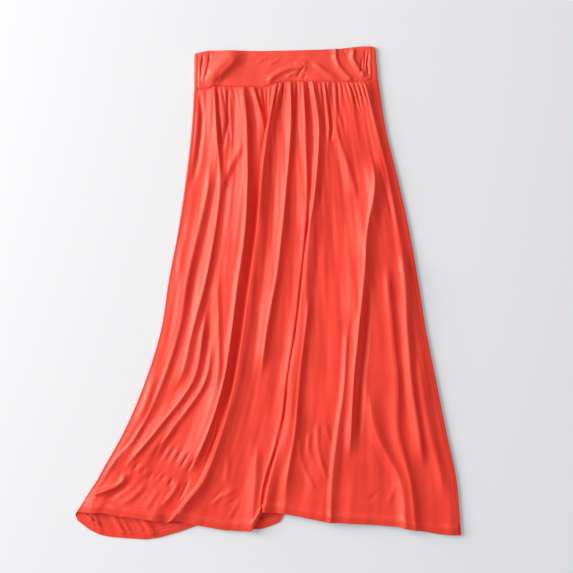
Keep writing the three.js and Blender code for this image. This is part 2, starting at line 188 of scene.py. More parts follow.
# %% [markdown]
# ## Short creases
# Between the long folds the cloth has small ridges and grooves where it was smoothed down by
# hand, most of them at the lower left and beside the middle. Each row is a short path from its
# lower end to its upper end, with the rise of its crest. A groove has a negative rise. A last
# number says how sharp the crest is, and a row without one is a soft roll.

# %% Short creases of the front
Crease = namedtuple("Crease", "path rise left right sharp", defaults=[0.0])
CREASES = [
    # Beside the side seams
    Crease([(-149, 200), (-136, 250), (-129, 300), (-127, 340), (-133, 384)], -4.0, 9, 10),
    Crease([(237, 129), (231, 158), (220, 205), (208, 243)], -2.4, 5, 6),
    Crease([(-168, 20), (-168, 125)], 1.6, 9, 9),
    Crease([(-248, -251), (-229, -203), (-215, -146)], 2.4, 12, 12),
    # Narrow troughs that meet below the waist at the left
    Crease([(-87, 276), (-91, 310), (-95, 348), (-96, 372), (-97, 388)], -2.0, 4, 5),
    Crease([(-87, 276), (-80, 305), (-76, 330), (-76, 360), (-77, 388)], -3.4, 5, 5),
    Crease([(-72, 285), (-75, 312), (-76, 338)], -2.0, 4, 5),
    # Lobes where folds from the waist cross
    Crease([(-87, 196), (-79, 222), (-68, 246), (-57, 266), (-46, 285)], 3.6, 18, 8, 0.7),
    Crease([(168, 180), (155, 225), (143, 262), (132, 298), (124, 324)], 3.2, 18, 8, 0.6),
    Crease([(116, 282), (121, 312), (119, 345), (117, 378), (115, 398)], -3.0, 6, 6),
    Crease([(146, 290), (141, 330), (134, 352), (128, 372)], -1.8, 5, 6),
    # Dark foot beside the lap
    Crease([(-15, -415), (2, -340), (28, -235), (48, -110), (61, 20), (72, 120), (83, 200)],
           -1.9, 2.4, 2.4),
    # Dark valleys beside the strongest folds
    Crease([(-92, -260), (-68, -165), (-52, -70), (-39, 25), (-26, 120), (-17, 215), (-14, 290)],
           -3.0, 18, 4),
    Crease([(170, -285), (172, -225), (178, -165), (186, -70), (191, 25)], -3.0, 7, 10),
    # Thin ridge below the left middle
    Crease([(-126, -330), (-119, -311), (-103, -270), (-94, -228)], 1.8, 4, 5),
    # Small folds between the middle and the right
    Crease([(89, -376), (73, -342), (62, -315), (59, -295), (60, -272)], 2.6, 7, 6, 0.5),
    Crease([(86, -323), (76, -300), (76, -280), (78, -258)], 2.8, 6, 5, 0.5),
    Crease([(113, -356), (99, -316), (94, -290), (93, -268), (93, -245)], 2.8, 7, 6, 0.5),
    Crease([(117, -282), (108, -248)], 2.2, 5, 5, 0.5),
    # Upper row of streaks at the lower left
    Crease([(-219, -312), (-202, -282)], -2.2, 4.5, 4.5),
    Crease([(-207, -317), (-189, -284)], -2.8, 4.5, 4.5),
    Crease([(-194, -322), (-174, -286)], -3.2, 4.5, 4.5),
    Crease([(-180, -326), (-161, -291)], -3.0, 4.5, 4.5),
    Crease([(-167, -332), (-149, -300)], -2.8, 4.5, 4.5),
    Crease([(-154, -339), (-137, -310)], -2.2, 4.5, 4.5),
    # Lower row of streaks
    Crease([(-255, -336), (-246, -320)], -2.6, 4.5, 4.5),
    Crease([(-243, -344), (-233, -328)], -2.8, 4.5, 4.5),
    Crease([(-228, -353), (-217, -337)], -3.6, 4.5, 4.5),
    Crease([(-217, -354), (-207, -339)], -3.0, 4.5, 4.5),
    Crease([(-204, -359), (-195, -342)], -3.4, 4.5, 4.5),
    Crease([(-190, -367), (-181, -350)], -3.0, 4.5, 4.5),
    # Soft slanting folds above the hem at the lower left
    Crease([(-285, -405), (-262, -391), (-242, -374), (-228, -352)], 2.8, 9, 8),
    Crease([(-236, -414), (-222, -394), (-206, -368)], 2.2, 9, 8),
    Crease([(-206, -410), (-190, -390), (-176, -372), (-168, -350)], 2.6, 8, 8),
    Crease([(-170, -394), (-160, -376), (-150, -350)], -2.2, 5, 5),
    Crease([(-266, -374), (-262, -326)], 1.6, 6, 5),
    # Hem that stands off the back at the far lower left
    Crease([(-352, -413), (-314, -417), (-270, -427), (-230, -434), (-196, -439)], 6.0, 55, 18),
    # Turned corner at the far lower left
    Crease([(-334, -381), (-311, -374), (-289, -366), (-275, -355), (-272, -340)], 6.0, 7, 9, 0.5),
    Crease([(-318, -391), (-292, -383), (-268, -366), (-258, -342)], -2.2, 7, 7),
    Crease([(-319, -356), (-286, -312), (-256, -280), (-238, -246)], 3.4, 6, 15, 0.7),
    Crease([(-341, -400), (-315, -400), (-290, -404)], -1.8, 4, 4),
    Crease([(-340, -390), (-322, -388)], 1.6, 4, 4),
    # Lower middle
    Crease([(-80, -368), (-76, -300)], 1.8, 9, 10),
    Crease([(-115, -409), (-96, -389), (-53, -367)], 1.5, 7, 7),
    Crease([(-78, -432), (-54, -392)], 1.6, 7, 7),
    Crease([(-84, -404), (-54, -386)], -1.5, 4, 5),
    Crease([(-106, -394), (-88, -373)], -1.5, 4, 5),
    # Faint folds at the lower right
    Crease([(228, -402), (241, -358)], 1.8, 8, 7),
    Crease([(186, -396), (212, -372)], -1.2, 6, 6),
]
print(len(CREASES), "short creases")

# %% [markdown]
# ## Gathers
# The skirt is wider than its waistband, and the spare width is drawn up into small puffs with a
# narrow trough between each two. Each trough has its X at the seam, how far down the cloth it
# runs, and how full the puff to its right is. They are as uneven here as fingers on a gathering
# thread leave them.

# %% Gathers of the front
Trough = namedtuple("Trough", "x run puff")
TROUGHS = [
    Trough(-135, 50, 0.3), Trough(-97, 80, 0.7), Trough(-88, 95, 0.5), Trough(-75, 50, 0.3),
    Trough(-65.5, 40, 0.3), Trough(-56, 85, 0.6), Trough(-43.5, 60, 0.4), Trough(-35, 45, 0.3),
    Trough(-21.5, 90, 0.6), Trough(-10, 50, 0.4), Trough(-1, 45, 0.6), Trough(7, 75, 1.0),
    Trough(19.5, 110, 1.2), Trough(29.5, 50, 0.7), Trough(35.5, 45, 0.9), Trough(46, 95, 1.1),
    Trough(54.5, 45, 0.7), Trough(62, 40, 0.6), Trough(68, 40, 0.6), Trough(75, 70, 0.9),
    Trough(81, 45, 0.7), Trough(87, 35, 0.5), Trough(92.5, 55, 0.8), Trough(101, 85, 1.0),
    Trough(109.5, 50, 0.9), Trough(120, 95, 1.2), Trough(130.5, 75, 1.0), Trough(138, 50, 0.8),
    Trough(145.5, 80, 1.1), Trough(153, 55, 0.9), Trough(162, 75, 1.1), Trough(170, 55, 0.9),
    Trough(178, 65, 1.0), Trough(185.5, 45, 0.7), Trough(193, 45, 0.4), Trough(197, 30, 0.4),
]
GATHER_RISE = 3.4    # height of a puff where it is fullest
GATHER_FULL = 13     # distance below the waist seam where it is fullest
GATHER_WIDTH = 8.5   # a puff this wide has that height, and a narrower one less
print(len(TROUGHS) - 1, "puffs between", len(TROUGHS), "troughs")

# %% [markdown]
# ## Waist seam, hems and the top of the band
# These lines run across the skirt. The front's hem is shorter than the back's at the lower left
# and beside the lap, and there the inside of the back's hem shows.

# %% Lines across the skirt
Spot = namedtuple("Spot", "x y")
WAIST_SEAM = [
    Spot(-141, 389), Spot(-121, 386), Spot(-111, 388), Spot(-101, 393), Spot(-54, 390), Spot(-8, 390),
    Spot(12, 397), Spot(28, 401), Spot(184, 401), Spot(194, 406), Spot(208, 406),
]
FRONT_HEM = [
    Spot(-366, -416), Spot(-314, -416), Spot(-284, -422), Spot(-216, -431), Spot(-191, -436),
    Spot(-183, -429), Spot(-132, -441), Spot(-82, -450), Spot(-31, -452), Spot(-12, -414),
    Spot(30, -418), Spot(111, -434), Spot(197, -439), Spot(244, -443), Spot(328, -458),
    Spot(366, -460),
]
BACK_HEM = [
    Spot(-366, -429), Spot(-339, -450), Spot(-320, -459), Spot(-301, -463), Spot(-234, -468),
    Spot(-206, -464), Spot(-168, -453), Spot(-132, -440), Spot(-82, -444), Spot(-35, -449),
    Spot(-12, -448), Spot(7, -441), Spot(24, -434), Spot(30, -416), Spot(117, -427),
    Spot(197, -433), Spot(294, -445), Spot(366, -456),
]
BAND_TOP = [
    Spot(-141, 453), Spot(-130, 457), Spot(-111, 460), Spot(-12, 459), Spot(60, 460.5),
    Spot(136, 463), Spot(159, 466), Spot(178, 468), Spot(197, 468), Spot(204, 465),
]
print("waist seam", round(WAIST_SEAM[-1].x - WAIST_SEAM[0].x), "mm across")

# %% [markdown]
# ## Arithmetic on whole sheets at once
# A sheet is held as two-way tables, a column for each strip of cloth and a row for each height,
# and numpy works on all of it in one step. Smooth runs use the slope through the neighbours, as
# a tailor's curve does.

# %% Helpers for curves
def ease(value, start, end):
    t = np.clip((value - start) / (end - start), 0, 1)
    return t * t * (3 - 2 * t)


def mix(a, b, share):
    return a + (b - a) * share


def along(values, v, straight=False):
    """Values given at sections 0, 1, 2 and so on, read at v sections down."""
    values = np.asarray(values, float)
    i = np.clip(v.astype(int), 0, values.shape[-1] - 2)
    t = v - i

    def pick(table, k):
        return table[k] if table.ndim == 1 else np.take_along_axis(table, k, axis=-1)

    a, b = pick(values, i), pick(values, i + 1)
    if straight:
        return mix(a, b, t)
    slopes = np.gradient(values, axis=-1)
    sa, sb, rise = pick(slopes, i), pick(slopes, i + 1), b - a
    return a + t * sa + t * t * (3 * rise - 2 * sa - sb) + t ** 3 * (sa + sb - 2 * rise)


def level(line, x, soften):
    """Height of a line across the skirt at x, with its corners rounded over soften."""
    xs, ys = [spot.x for spot in line], [spot.y for spot in line]
    offsets = np.linspace(-soften, soften, 5)
    return np.mean([np.interp(np.asarray(x) + d, xs, ys) for d in offsets], axis=0)


def edges_at(v):
    return {
        name: along([getattr(section, name) for section in SECTIONS], v)
        for name in ("left_edge", "left_seam", "right_seam", "right_edge")
    }


def edge_height(inset):
    """Height of the face over a folded side edge, at a distance in from the outline."""
    across = SIDE_ROUND - np.clip(inset, 0, SIDE_ROUND)
    return SIDE_ROUND + np.sqrt(SIDE_ROUND ** 2 - across ** 2)


def bell(across, left, right, sharp=0.0):
    """Share of a fold's rise at a distance to the right of its crest, blunt at 0 and sharp at 1."""
    width = np.where(across < 0, left, right)
    t = np.clip(np.abs(across) / width, 0, 1)
    from_crest = np.hypot(across, CREST_ROUND) - CREST_ROUND
    straight = (1 - np.clip(from_crest / (width - CREST_ROUND), 0, 1)) ** 1.5
    pinch = (1 - np.clip(from_crest / np.minimum(PINCH, width), 0, 1)) ** 2
    pinched = mix(straight, pinch, np.where(across < 0, PINCH_SHARE, 0))
    return mix(0.5 + 0.5 * np.cos(np.pi * t), pinched, sharp)


print("side edge is", edge_height(np.array([0.0, 1.0, 3.1])).round(2), "mm high at 0, 1 and 3.1 mm in")


# %% Height that one crease adds
def crease_rise(crease, x, y):
    path = np.array(crease.path, float)
    steps = np.diff(path, axis=0)
    lengths = np.hypot(steps[:, 0], steps[:, 1])
    done = np.concatenate([[0], np.cumsum(lengths)])
    nearest = np.full(x.shape, np.inf)
    side, share = np.zeros(x.shape), np.zeros(x.shape)
    for (ax, ay), (dx, dy), length, start in zip(path, steps, lengths, done):
        t = np.clip(((x - ax) * dx + (y - ay) * dy) / length ** 2, 0, 1)
        away = np.hypot(x - ax - t * dx, y - ay - t * dy)
        right = (x - ax) * dy - (y - ay) * dx
        closer = away < nearest
        nearest = np.where(closer, away, nearest)
        side = np.where(closer, np.sign(right) * away, side)
        share = np.where(closer, (start + t * length) / done[-1], share)
    taper = SHORT_TAPER if len(path) < 5 else LONG_TAPER
    ends = ease(share, 0, taper) * (1 - ease(share, 1 - taper, 1))
    return crease.rise * ends * bell(side, crease.left, crease.right, crease.sharp)


# %% [markdown]
# ## Columns and rows of the front
# The columns follow the crest lines, closer together where the waist seam or the hem needs it.
# The rows are close at the gathers, even over most of the length, and closer again in the lowest
# quarter, where the creases are small. The last ones turn round the hem: first a half turn, then
# the allowance that lies inside.

# %% Columns and rows
WAIST_COLUMN = 1.4   # widest column at the waist seam
HEM_COLUMN = 3.7     # widest column at the hem
EVEN_ROWS = 68       # rows from section 1 down to CLOSE_FROM
CLOSE_ROWS = 44      # rows from there to the hem
CLOSE_FROM = 6.9     # the section at which the rows get closer
seam_line = {name: [getattr(s, name) for s in SECTIONS] for name in ("left_seam", "right_seam")}
anchors = np.array([seam_line["left_seam"], *LINES.values(), seam_line["right_seam"]], float)
strips = []
for left, right in zip(anchors, anchors[1:]):
    gap = right - left
    count = math.ceil(max(gap[0] / WAIST_COLUMN, gap[LAST] / HEM_COLUMN))
    strips.append(left + gap * (np.arange(count) / count)[:, None])
front_x = np.concatenate([*strips, anchors[-1:]])
front_x[0] += SEAM_GAP / 2
front_x[-1] -= SEAM_GAP / 2

BEND = CLOTH + SEAM_GAP / 2      # radius of the hem's fold outside
near_seam = [0, 1, 2, 3.2, 5, 7, 9.5, 12, 15, 18, 21.5, 25, 29, 33, 38, 43, 48.5, 54, 60, 66.5, 73]
panel_rows = np.array([mm / (TOP - SECTIONS[1].y) for mm in near_seam])
near_hem = [24, 20.5, 18, 16.5, 15.7, 15, 14.3, 13.3, 12.3, 11.5, 10.7, 9.5, 7, 4, 1.8, 0]
hem_rows = np.array([LAST - mm / (SECTIONS[LAST - 1].y - SECTIONS[LAST].y) for mm in near_hem])
even_rows = np.linspace(1, CLOSE_FROM, EVEN_ROWS)
close_rows = np.linspace(CLOSE_FROM + 0.05, hem_rows[0] - 0.04, CLOSE_ROWS)
panel_rows = np.concatenate([panel_rows, even_rows, close_rows, hem_rows])
fold_turns = np.radians([30, 60, 90, 120, 150, 180])
turned_up = np.array([HEM_TURN * share for share in (0.25, 0.5, 0.75, 1)])
row_v = np.concatenate([panel_rows, np.full(len(fold_turns) + len(turned_up), float(LAST))])
row_turn = np.concatenate([np.zeros(len(panel_rows)), fold_turns, np.full(len(turned_up), np.pi)])
row_up = np.concatenate([np.zeros(len(panel_rows) + len(fold_turns)), turned_up])
print(len(front_x) - 1, "columns by", len(row_v) - 1, "rows for the front")


# %% Heights down each column
def column_heights(top, hem):
    """Y of every column at every section, from its own waist seam to its own hem."""
    ys = np.tile([float(section.y) for section in SECTIONS], (len(top), 1))
    ys[:, 0], ys[:, LAST] = top, hem
    return ys


front_y = column_heights(
    level(WAIST_SEAM, front_x[:, 0], 2) - SEAM_GAP, level(FRONT_HEM, front_x[:, LAST], 4) + BEND
)


def sections_down(ys):
    """v for every column and row, going back up the cloth where the hem is turned."""
    length = ys[:, LAST - 1] - ys[:, LAST]
    return row_v - row_up / length[:, None]


print("shortest column", round(float((front_y[:, 0] - front_y[:, LAST]).min())), "mm")

# %% [markdown]
# ## The front's face
# Everything that lifts the cloth is added up here: long folds, short creases, gathers and a
# low, slow swell between them. Near a side seam the seam holds the cloth down, and just below
# the waist seam it dips into the seam. The hem is two layers and stands higher at the needle,
# so its lower edge slopes away from the light. A side seam shows only above the sections where
# the cloth has rolled it under.

# %% The face of the front
trough_x = np.array([trough.x for trough in TROUGHS], float)
trough_run = np.array([trough.run for trough in TROUGHS], float)
trough_puff = np.array([trough.puff for trough in TROUGHS], float)
Swell = namedtuple("Swell", "across down start height")
SWELLS = [
    Swell(7.3, 0.21, 0.4, 0.55), Swell(11.7, -0.17, 2.1, 0.45), Swell(17.9, 0.33, 4.4, 0.30),
    Swell(27.0, -0.26, 1.2, 0.20), Swell(41.0, 0.41, 3.3, 0.12),
]
LEFT_SEAM_ENDS, RIGHT_SEAM_ENDS = (1.2, 2), (2.8, 3.6)  # sections where a side seam rolls under


def gathers(at_seam, below):
    i = np.clip(np.searchsorted(trough_x, at_seam) - 1, 0, len(trough_x) - 2)
    width = trough_x[i + 1] - trough_x[i]
    t = np.clip((at_seam - trough_x[i]) / width, 0, 1)
    puff = trough_puff[i] * np.sin(np.pi * t) ** 0.8 * np.minimum(width / GATHER_WIDTH, 1.1)
    run = mix(trough_run[i], trough_run[i + 1], t)
    swell = mix(0.35, 1, ease(below, 0, GATHER_FULL))
    fade = 1 - ease(below, GATHER_FULL, run[:, None])
    return GATHER_RISE * puff[:, None] * swell * fade


def front_rise(x, y, v, below):
    rise = np.zeros(x.shape)
    for fold in LONG_FOLDS:
        begins = 1.0 if fold.top >= TOP else ease(fold.top - y, 0, FADE)
        ends = 1.0 if fold.bottom <= SECTIONS[LAST].y else ease(y - fold.bottom, 0, FADE)
        across = x - along(LINES[fold.line], v)
        sharp = np.where(across < 0, fold.sharp_left, fold.sharp_right)
        rise += fold.rise * begins * ends * bell(across, fold.left, fold.right, sharp)
    edges = edges_at(v)
    share = (x - edges["left_seam"]) / (edges["right_seam"] - edges["left_seam"])
    for swell in SWELLS:
        turns = swell.across * share + swell.down * v
        rise += swell.height * (1 + np.sin(2 * np.pi * turns + swell.start))
    rise *= mix(HELD, 1, ease(below, 0, SEAM_HOLD))
    for crease in CREASES:
        rise += crease_rise(crease, x, y)
    return rise


def front_face(v):
    x = along(front_x, v)
    y = along(front_y, v, straight=True)
    edges = edges_at(v)
    inset = np.minimum(x - edges["left_edge"], edges["right_edge"] - x)
    from_seam = np.minimum(x - edges["left_seam"], edges["right_seam"] - x)
    below = front_y[:, :1] - y
    rise = front_rise(x, y, v, below) + gathers(front_x[:, 0], below)
    rise *= ease(from_seam, 0, SIDE_HOLD)
    on_left = x - edges["left_seam"] < edges["right_seam"] - x
    sewn_down = np.where(on_left, 1 - ease(v, *LEFT_SEAM_ENDS), 1 - ease(v, *RIGHT_SEAM_ENDS))
    rise -= SIDE_DIP * sewn_down * np.exp(-(from_seam / 1.4) ** 2)
    rise -= WAIST_DIP * np.exp(-(below / 2.4) ** 2)
    above = y - front_y[:, LAST:]
    rise += HEM_STAND * np.clip(above / HEM_SLOPE, 0, 1) * (1 - ease(above, *HEM_STEP))
    for needle in TWIN_ROWS:
        rise -= NEEDLE_DIP * np.exp(-(above - needle) ** 2)
    return x, y, edge_height(inset) + rise


front_v = sections_down(front_y)
face_x, face_y, face_z = front_face(front_v)
print("front reaches", round(float(face_z.max()), 1), "mm above the surface")

# %% [markdown]
# ## One way to make every wall
# A wall of cloth is a flat grid that bmesh makes, given its thickness by the solidify operator
# while it is still flat, so that its two sides match point for point. Its points then move to
# the outer and the inner face of the cloth. A Solidify modifier would do as well on smooth
# cloth, but at a tight crest it pushes the inner side through itself.

# %% A wall of cloth from its outer and inner points
cloth_bends = math.radians(75)


def cloth_wall(name, outer, inner):
    """outer and inner are tables of points in millimetres, columns by rows by X, Y and Z."""
    columns, rows = outer.shape[0] - 1, outer.shape[1] - 1
    bm = bmesh.new()
    bm.loops.layers.uv.new("knit")
    bmesh.ops.create_grid(bm, x_segments=columns, y_segments=rows, size=0.5, calc_uvs=True)
    bmesh.ops.solidify(bm, geom=bm.faces[:], thickness=0.1)
    mesh = bpy.data.meshes.new(name)
    bm.to_mesh(mesh)
    bm.free()
    flat = np.empty(len(mesh.vertices) * 3)
    mesh.vertices.foreach_get("co", flat)
    flat = flat.reshape(-1, 3)
    low, high = flat.min(axis=0), flat.max(axis=0)
    share = (flat - low) / (high - low)
    column = np.rint(share[:, 0] * columns).astype(int)
    row = rows - np.rint(share[:, 1] * rows).astype(int)
    top = share[:, 2:] > 0.5
    points = np.where(top, outer[column, row], inner[column, row]) * MM
    mesh.vertices.foreach_set("co", points.ravel())
    bm = bmesh.new()
    bm.from_mesh(mesh)
    bmesh.ops.recalc_face_normals(bm, faces=bm.faces[:])
    for face in bm.faces:
        face.smooth = True
    bm.to_mesh(mesh)
    bm.free()
    mesh.set_sharp_from_angle(angle=cloth_bends)
    piece = bpy.data.objects.new(name, mesh)
    bpy.context.scene.collection.objects.link(piece)
    print(name, "has", 2 * len(mesh.polygons), "triangles")
    return piece


def hemmed(x, y, z, inward_x, inward_z):
    """Outer and inner points of a panel whose last rows turn under at the hem."""
    turn = np.broadcast_to(row_turn, x.shape)
    middle_x, middle_z = x + BEND * inward_x, z + BEND * inward_z

    def side(radius):
        down = radius * np.cos(turn)
        return np.stack([
            middle_x - down * inward_x, y - radius * np.sin(turn), middle_z - down * inward_z,
        ], axis=-1)

    return side(BEND), side(SEAM_GAP / 2)


# %% [markdown]
# ## The front panel
# On the real skirt this is one flared piece of jersey, with its hem allowance cut in one. So
# the panel and its turned hem are one sheet here and stand for both of their solids.

# %% Front panel
inward_x, inward_z = np.zeros(face_x.shape), -np.ones(face_x.shape)
front_outer, front_inner = hemmed(face_x, face_y, face_z, inward_x, inward_z)
front_panel = cloth_wall("front_panel", front_outer, front_inner)
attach(front_panel, "root")
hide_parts("skirt_front", "front_hem_turnup")

# %% [markdown]
# ## The back panel
# The back is the rest of the tube. It starts at the right side seam, rolls round the right
# edge, lies flat on the surface and comes up round the left edge. It has gathers and a few
# shallow folds too, which lift off the surface, so the skirt still lies flat on it.

# %% Columns of the back
ARC_STEPS = 10       # columns round each folded side edge
BACK_COLUMNS = 190   # columns between the two edges
SEAM_SINK = 0.7      # how much lower the back's edge lies where it meets the front
tube_columns = (
    [("right", k / ARC_STEPS) for k in range(ARC_STEPS)]
    + [("under", 1 - k / BACK_COLUMNS) for k in range(BACK_COLUMNS + 1)]
    + [("left", k / ARC_STEPS) for k in reversed(range(ARC_STEPS))]
)


def tube_column(place, edges, lift):
    """X, Z and inward direction down one column of the back."""
    side, share = place
    ones = np.ones(edges["left_edge"].shape)
    if side == "under":
        left, right = edges["left_edge"] + SIDE_ROUND, edges["right_edge"] - SIDE_ROUND
        return mix(left, right, share), lift * ones, 0 * ones, ones
    out = -1 if side == "left" else 1
    edge, seam = edges[side + "_edge"], edges[side + "_seam"]
    inset = (edge - seam) * out - SEAM_GAP / 2
    if share == 0:
        return edge - out * inset, edge_height(inset) - SEAM_SINK, 0 * ones, -ones
    start = np.arccos(np.clip(SIDE_ROUND - inset, 0, None) / SIDE_ROUND)
    angle = mix(start, -np.pi / 2, share)
    x = edge - out * SIDE_ROUND + out * SIDE_ROUND * np.cos(angle)
    return x, SIDE_ROUND + SIDE_ROUND * np.sin(angle), -out * np.cos(angle), -np.sin(angle)


print(len(tube_columns) - 1, "columns round the back")

# %% Shallow folds of the back
HEM_WRINKLE = 4.2    # height of a wrinkle above the hem
TURNED_WRINKLE = 1.5  # height of a wrinkle of the layer that is turned inside
TURNED_SHIFT = 3     # how far those lie to the left of the others
LEAN = 0.7           # how far a wrinkle leans to the left on its way up
BACK_PUFF = 1.2      # height of the back's gathers
BACK_GATHER_RUN = 80  # length over which they die away
BackFold = namedtuple("BackFold", "top_x hem_x top bottom lift width")
BACK_FOLDS = [
    BackFold(-110, -290, 395, -250, 1.0, 10), BackFold(-70, -205, 395, -60, 0.8, 9),
    BackFold(-30, -120, 395, -300, 1.1, 11), BackFold(5, -60, 395, 60, 0.7, 8),
    BackFold(45, -5, 395, -340, 1.1, 12), BackFold(90, 75, 395, -120, 0.9, 9),
    BackFold(125, 150, 395, -280, 1.0, 11), BackFold(165, 240, 395, -20, 0.8, 9),
    BackFold(180, 300, 150, -330, 1.0, 10), BackFold(20, -150, -80, -380, 0.8, 9),
]


def hem_wrinkles(x):
    """Upright wrinkles that the twin needle draws up, at the left, where the inside shows."""
    uneven = 0.6 + 0.4 * np.sin(x / 8.3 + 2.0)
    high = 0.5 * ease(-x, 60, 110) + 0.5 * ease(-x, 170, 200)
    return uneven * (0.5 + 0.5 * np.sin(x / 2.6 + 2.2 * np.sin(x / 13.0))) * high


def back_lift(x, y, below, above_hem):
    """How far the back is off the surface, where it gathers and folds."""
    puffs = np.abs(np.sin(np.pi * x / 8.7 + 0.6 * np.sin(x / 23.0)))
    filled = mix(0.35, 1, ease(below, 0, GATHER_FULL))
    lift = BACK_PUFF * puffs * filled * (1 - ease(below, GATHER_FULL, BACK_GATHER_RUN))
    for fold in BACK_FOLDS:
        down = (TOP - y) / (TOP - SECTIONS[LAST].y)
        crest = mix(fold.top_x, fold.hem_x, down)
        ends = ease(fold.top - y, 0, FADE) * ease(y - fold.bottom, 0, FADE)
        lift = np.maximum(lift, fold.lift * ends * bell(x - crest, fold.width, fold.width))
    near_hem = ease(above_hem, 3, 12) * (1 - ease(above_hem, 26, 50))
    return lift + HEM_WRINKLE * near_hem * hem_wrinkles(x + LEAN * above_hem) * ease(x + 355, 0, 20)


# %% Points of the back
def back_panel_points():
    tables = []
    nominal = {name: np.array([getattr(SECTIONS[k], name) for k in (0, LAST)], float)
               for name in ("left_edge", "left_seam", "right_seam", "right_edge")}
    for place in tube_columns:
        top_x, hem_x = tube_column(place, nominal, 0.0)[0]
        hem = level(BACK_HEM, hem_x, 4)
        if place[0] != "under":
            hem = mix(level(FRONT_HEM, hem_x, 4), hem, place[1])
        ys = column_heights([level(WAIST_SEAM, top_x, 2) - SEAM_GAP], [hem + BEND])
        v = sections_down(ys)
        y = along(ys, v, straight=True)[0]
        edges = edges_at(v[0])
        below = ys[0, 0] - y
        x = tube_column(place, edges, 0.0)[0]
        lift = back_lift(x, y, below, y - ys[0, LAST]) if place[0] == "under" else 0.0
        x, z, inward_x, inward_z = tube_column(place, edges, lift)
        tables.append((x, y, z, inward_x, inward_z))
    return [np.array(table) for table in zip(*tables)]


back_points = back_panel_points()
print("back's underside lies", round(float(back_points[2].min()), 2), "mm above the surface")

# %% [markdown]
# The inside of the back's turned hem shows at the lower left. The twin needle draws it into
# little upright wrinkles, so its inner layer is lifted by them.

# %% Back panel with its hem
back_outer, back_inner = hemmed(*back_points)
turned = row_turn >= np.pi
hem_x = back_outer[:, turned, 0]
wrinkle = TURNED_WRINKLE * hem_wrinkles(hem_x + TURNED_SHIFT + LEAN * row_up[turned])
wrinkle = wrinkle * ease(row_up[turned], 0, 8) * ease(hem_x + 350, 0, 20)
back_outer[:, turned, 2] += wrinkle
back_inner[:, turned, 2] += wrinkle
back_panel = cloth_wall("back_panel", back_outer, back_inner)
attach(back_panel, "root")
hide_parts("skirt_back", "back_hem_turnup")

# %% [markdown]
# ## The waistband
# The band is a wide strip, doubled over an elastic and folded at its top. The elastic draws it
# in at the side seams, where it stands in small upright wrinkles, and laying it flat has pushed
# soft slanting creases across its front. Its top edge is rounded like any folded cloth.

# %% Creases of the band
BAND_ENDS = {"left_edge": -140.5, "left_seam": -133, "right_seam": 196, "right_edge": 203}
BAND_CREASES = [
    Crease([(-124, 392), (-101, 417), (-80, 436), (-46, 466)], 10.0, 32, 25),
    Crease([(-98, 404), (-82, 420), (-68, 434), (-56, 446)], 2.2, 7, 7),
    Crease([(-24, 436), (-10, 444), (2, 450)], 1.2, 3, 4),
    Crease([(-2, 432), (14, 440), (26, 448)], 1.2, 3, 4),
    Crease([(-4, 398), (10, 411), (24, 420), (41, 426), (58, 428), (76, 427)], 4.4, 8, 9, 0.5),
    Crease([(30, 408), (50, 417), (66, 419)], 2.4, 5, 5),
    Crease([(46, 434), (62, 439), (78, 436)], 2.0, 6, 6),
    Crease([(134, 404), (110, 418), (92, 432), (80, 440)], 3.2, 9, 7),
    Crease([(161, 402), (146, 416), (134, 430), (128, 445), (127, 468)], 3.8, 11, 5.5, 0.5),
    Crease([(185, 409), (176, 419), (167, 431), (160, 445), (162, 466)], 4.0, 10, 5.5, 0.5),
    Crease([(152, 446), (140, 462)], -1.2, 4, 4),
    Crease([(52, 406), (60, 420), (72, 433)], -2.6, 4, 4),
    Crease([(66, 404), (72, 418)], -1.2, 4, 4),
    Crease([(-133, 404), (-135, 430), (-132, 454)], -2.2, 2.5, 2.5),
    Crease([(-128, 400), (-127, 430), (-122, 456)], -2.8, 3, 3),
    Crease([(-122, 398), (-114, 432), (-110, 458)], -3.2, 3, 4),
    Crease([(-104, 396), (-90, 408)], -2.0, 3, 3),
    Crease([(-98, 396), (-78, 408)], -1.6, 3, 3),
    Crease([(174, 412), (179, 450)], -2.4, 3, 3),
    Crease([(190, 408), (187, 435), (190, 458)], -3.2, 3, 4),
    Crease([(181, 424), (184, 462)], -2.6, 2.5, 3),
]
print(len(BAND_CREASES), "creases in the band")


# %% Rows and ends of the band
BAND_SIDE_DIP = 0.7        # how far the band dips into its side seams
BAND_WAIST_DIP = 1.3       # and into the waist seam
near_top, near_waist = [0, 0.12, 0.35, 0.7, 1.2, 2.2, 3.6], [58, 59.3, 60.4, 61.4]
band_rows = np.array([*near_top, *np.arange(6, 57, 2.4), *near_waist])
band_rows = band_rows / band_rows[-1]


def band_edges(v):
    return {name: mix(at_top, getattr(SECTIONS[0], name), v) for name, at_top in BAND_ENDS.items()}


def band_y(x, v):
    top, seam = level(BAND_TOP, x, 3), level(WAIST_SEAM, x, 2)
    return mix(top, seam, v), mix(0, top - seam, v), mix(top - seam, 0, v)


def rolled(from_top, thickness):
    """How far each face of a folded edge draws in, close to the fold."""
    across = np.clip(1 - from_top / (thickness / 2), 0, 1)
    return thickness / 2 * (1 - np.sqrt(1 - across ** 2))


# %% Front of the waistband
BAND_COLUMNS = 270
share = np.linspace(0, 1, BAND_COLUMNS + 1)[:, None]
v = np.broadcast_to(band_rows, (BAND_COLUMNS + 1, len(band_rows)))
edges = band_edges(v)
x = mix(edges["left_seam"] + SEAM_GAP / 2, edges["right_seam"] - SEAM_GAP / 2, share)
y, from_top, from_waist = band_y(x, v)
from_end = np.minimum(x - edges["left_seam"], edges["right_seam"] - x)
rise = 0.25 * (1 + np.sin(x / 13.0 + y / 21.0)) + 0.15 * np.sin(x / 5.1 - y / 17.0 + 1)
for crease in BAND_CREASES:
    rise += crease_rise(crease, x, y)
rise *= ease(from_end, 0, 5)
at_side, at_waist = np.exp(-(from_end / 1.6) ** 2), np.exp(-(from_waist / 2.2) ** 2)
rise -= BAND_SIDE_DIP * at_side + BAND_WAIST_DIP * at_waist
draw_in = rolled(from_top, BAND_CLOTH)
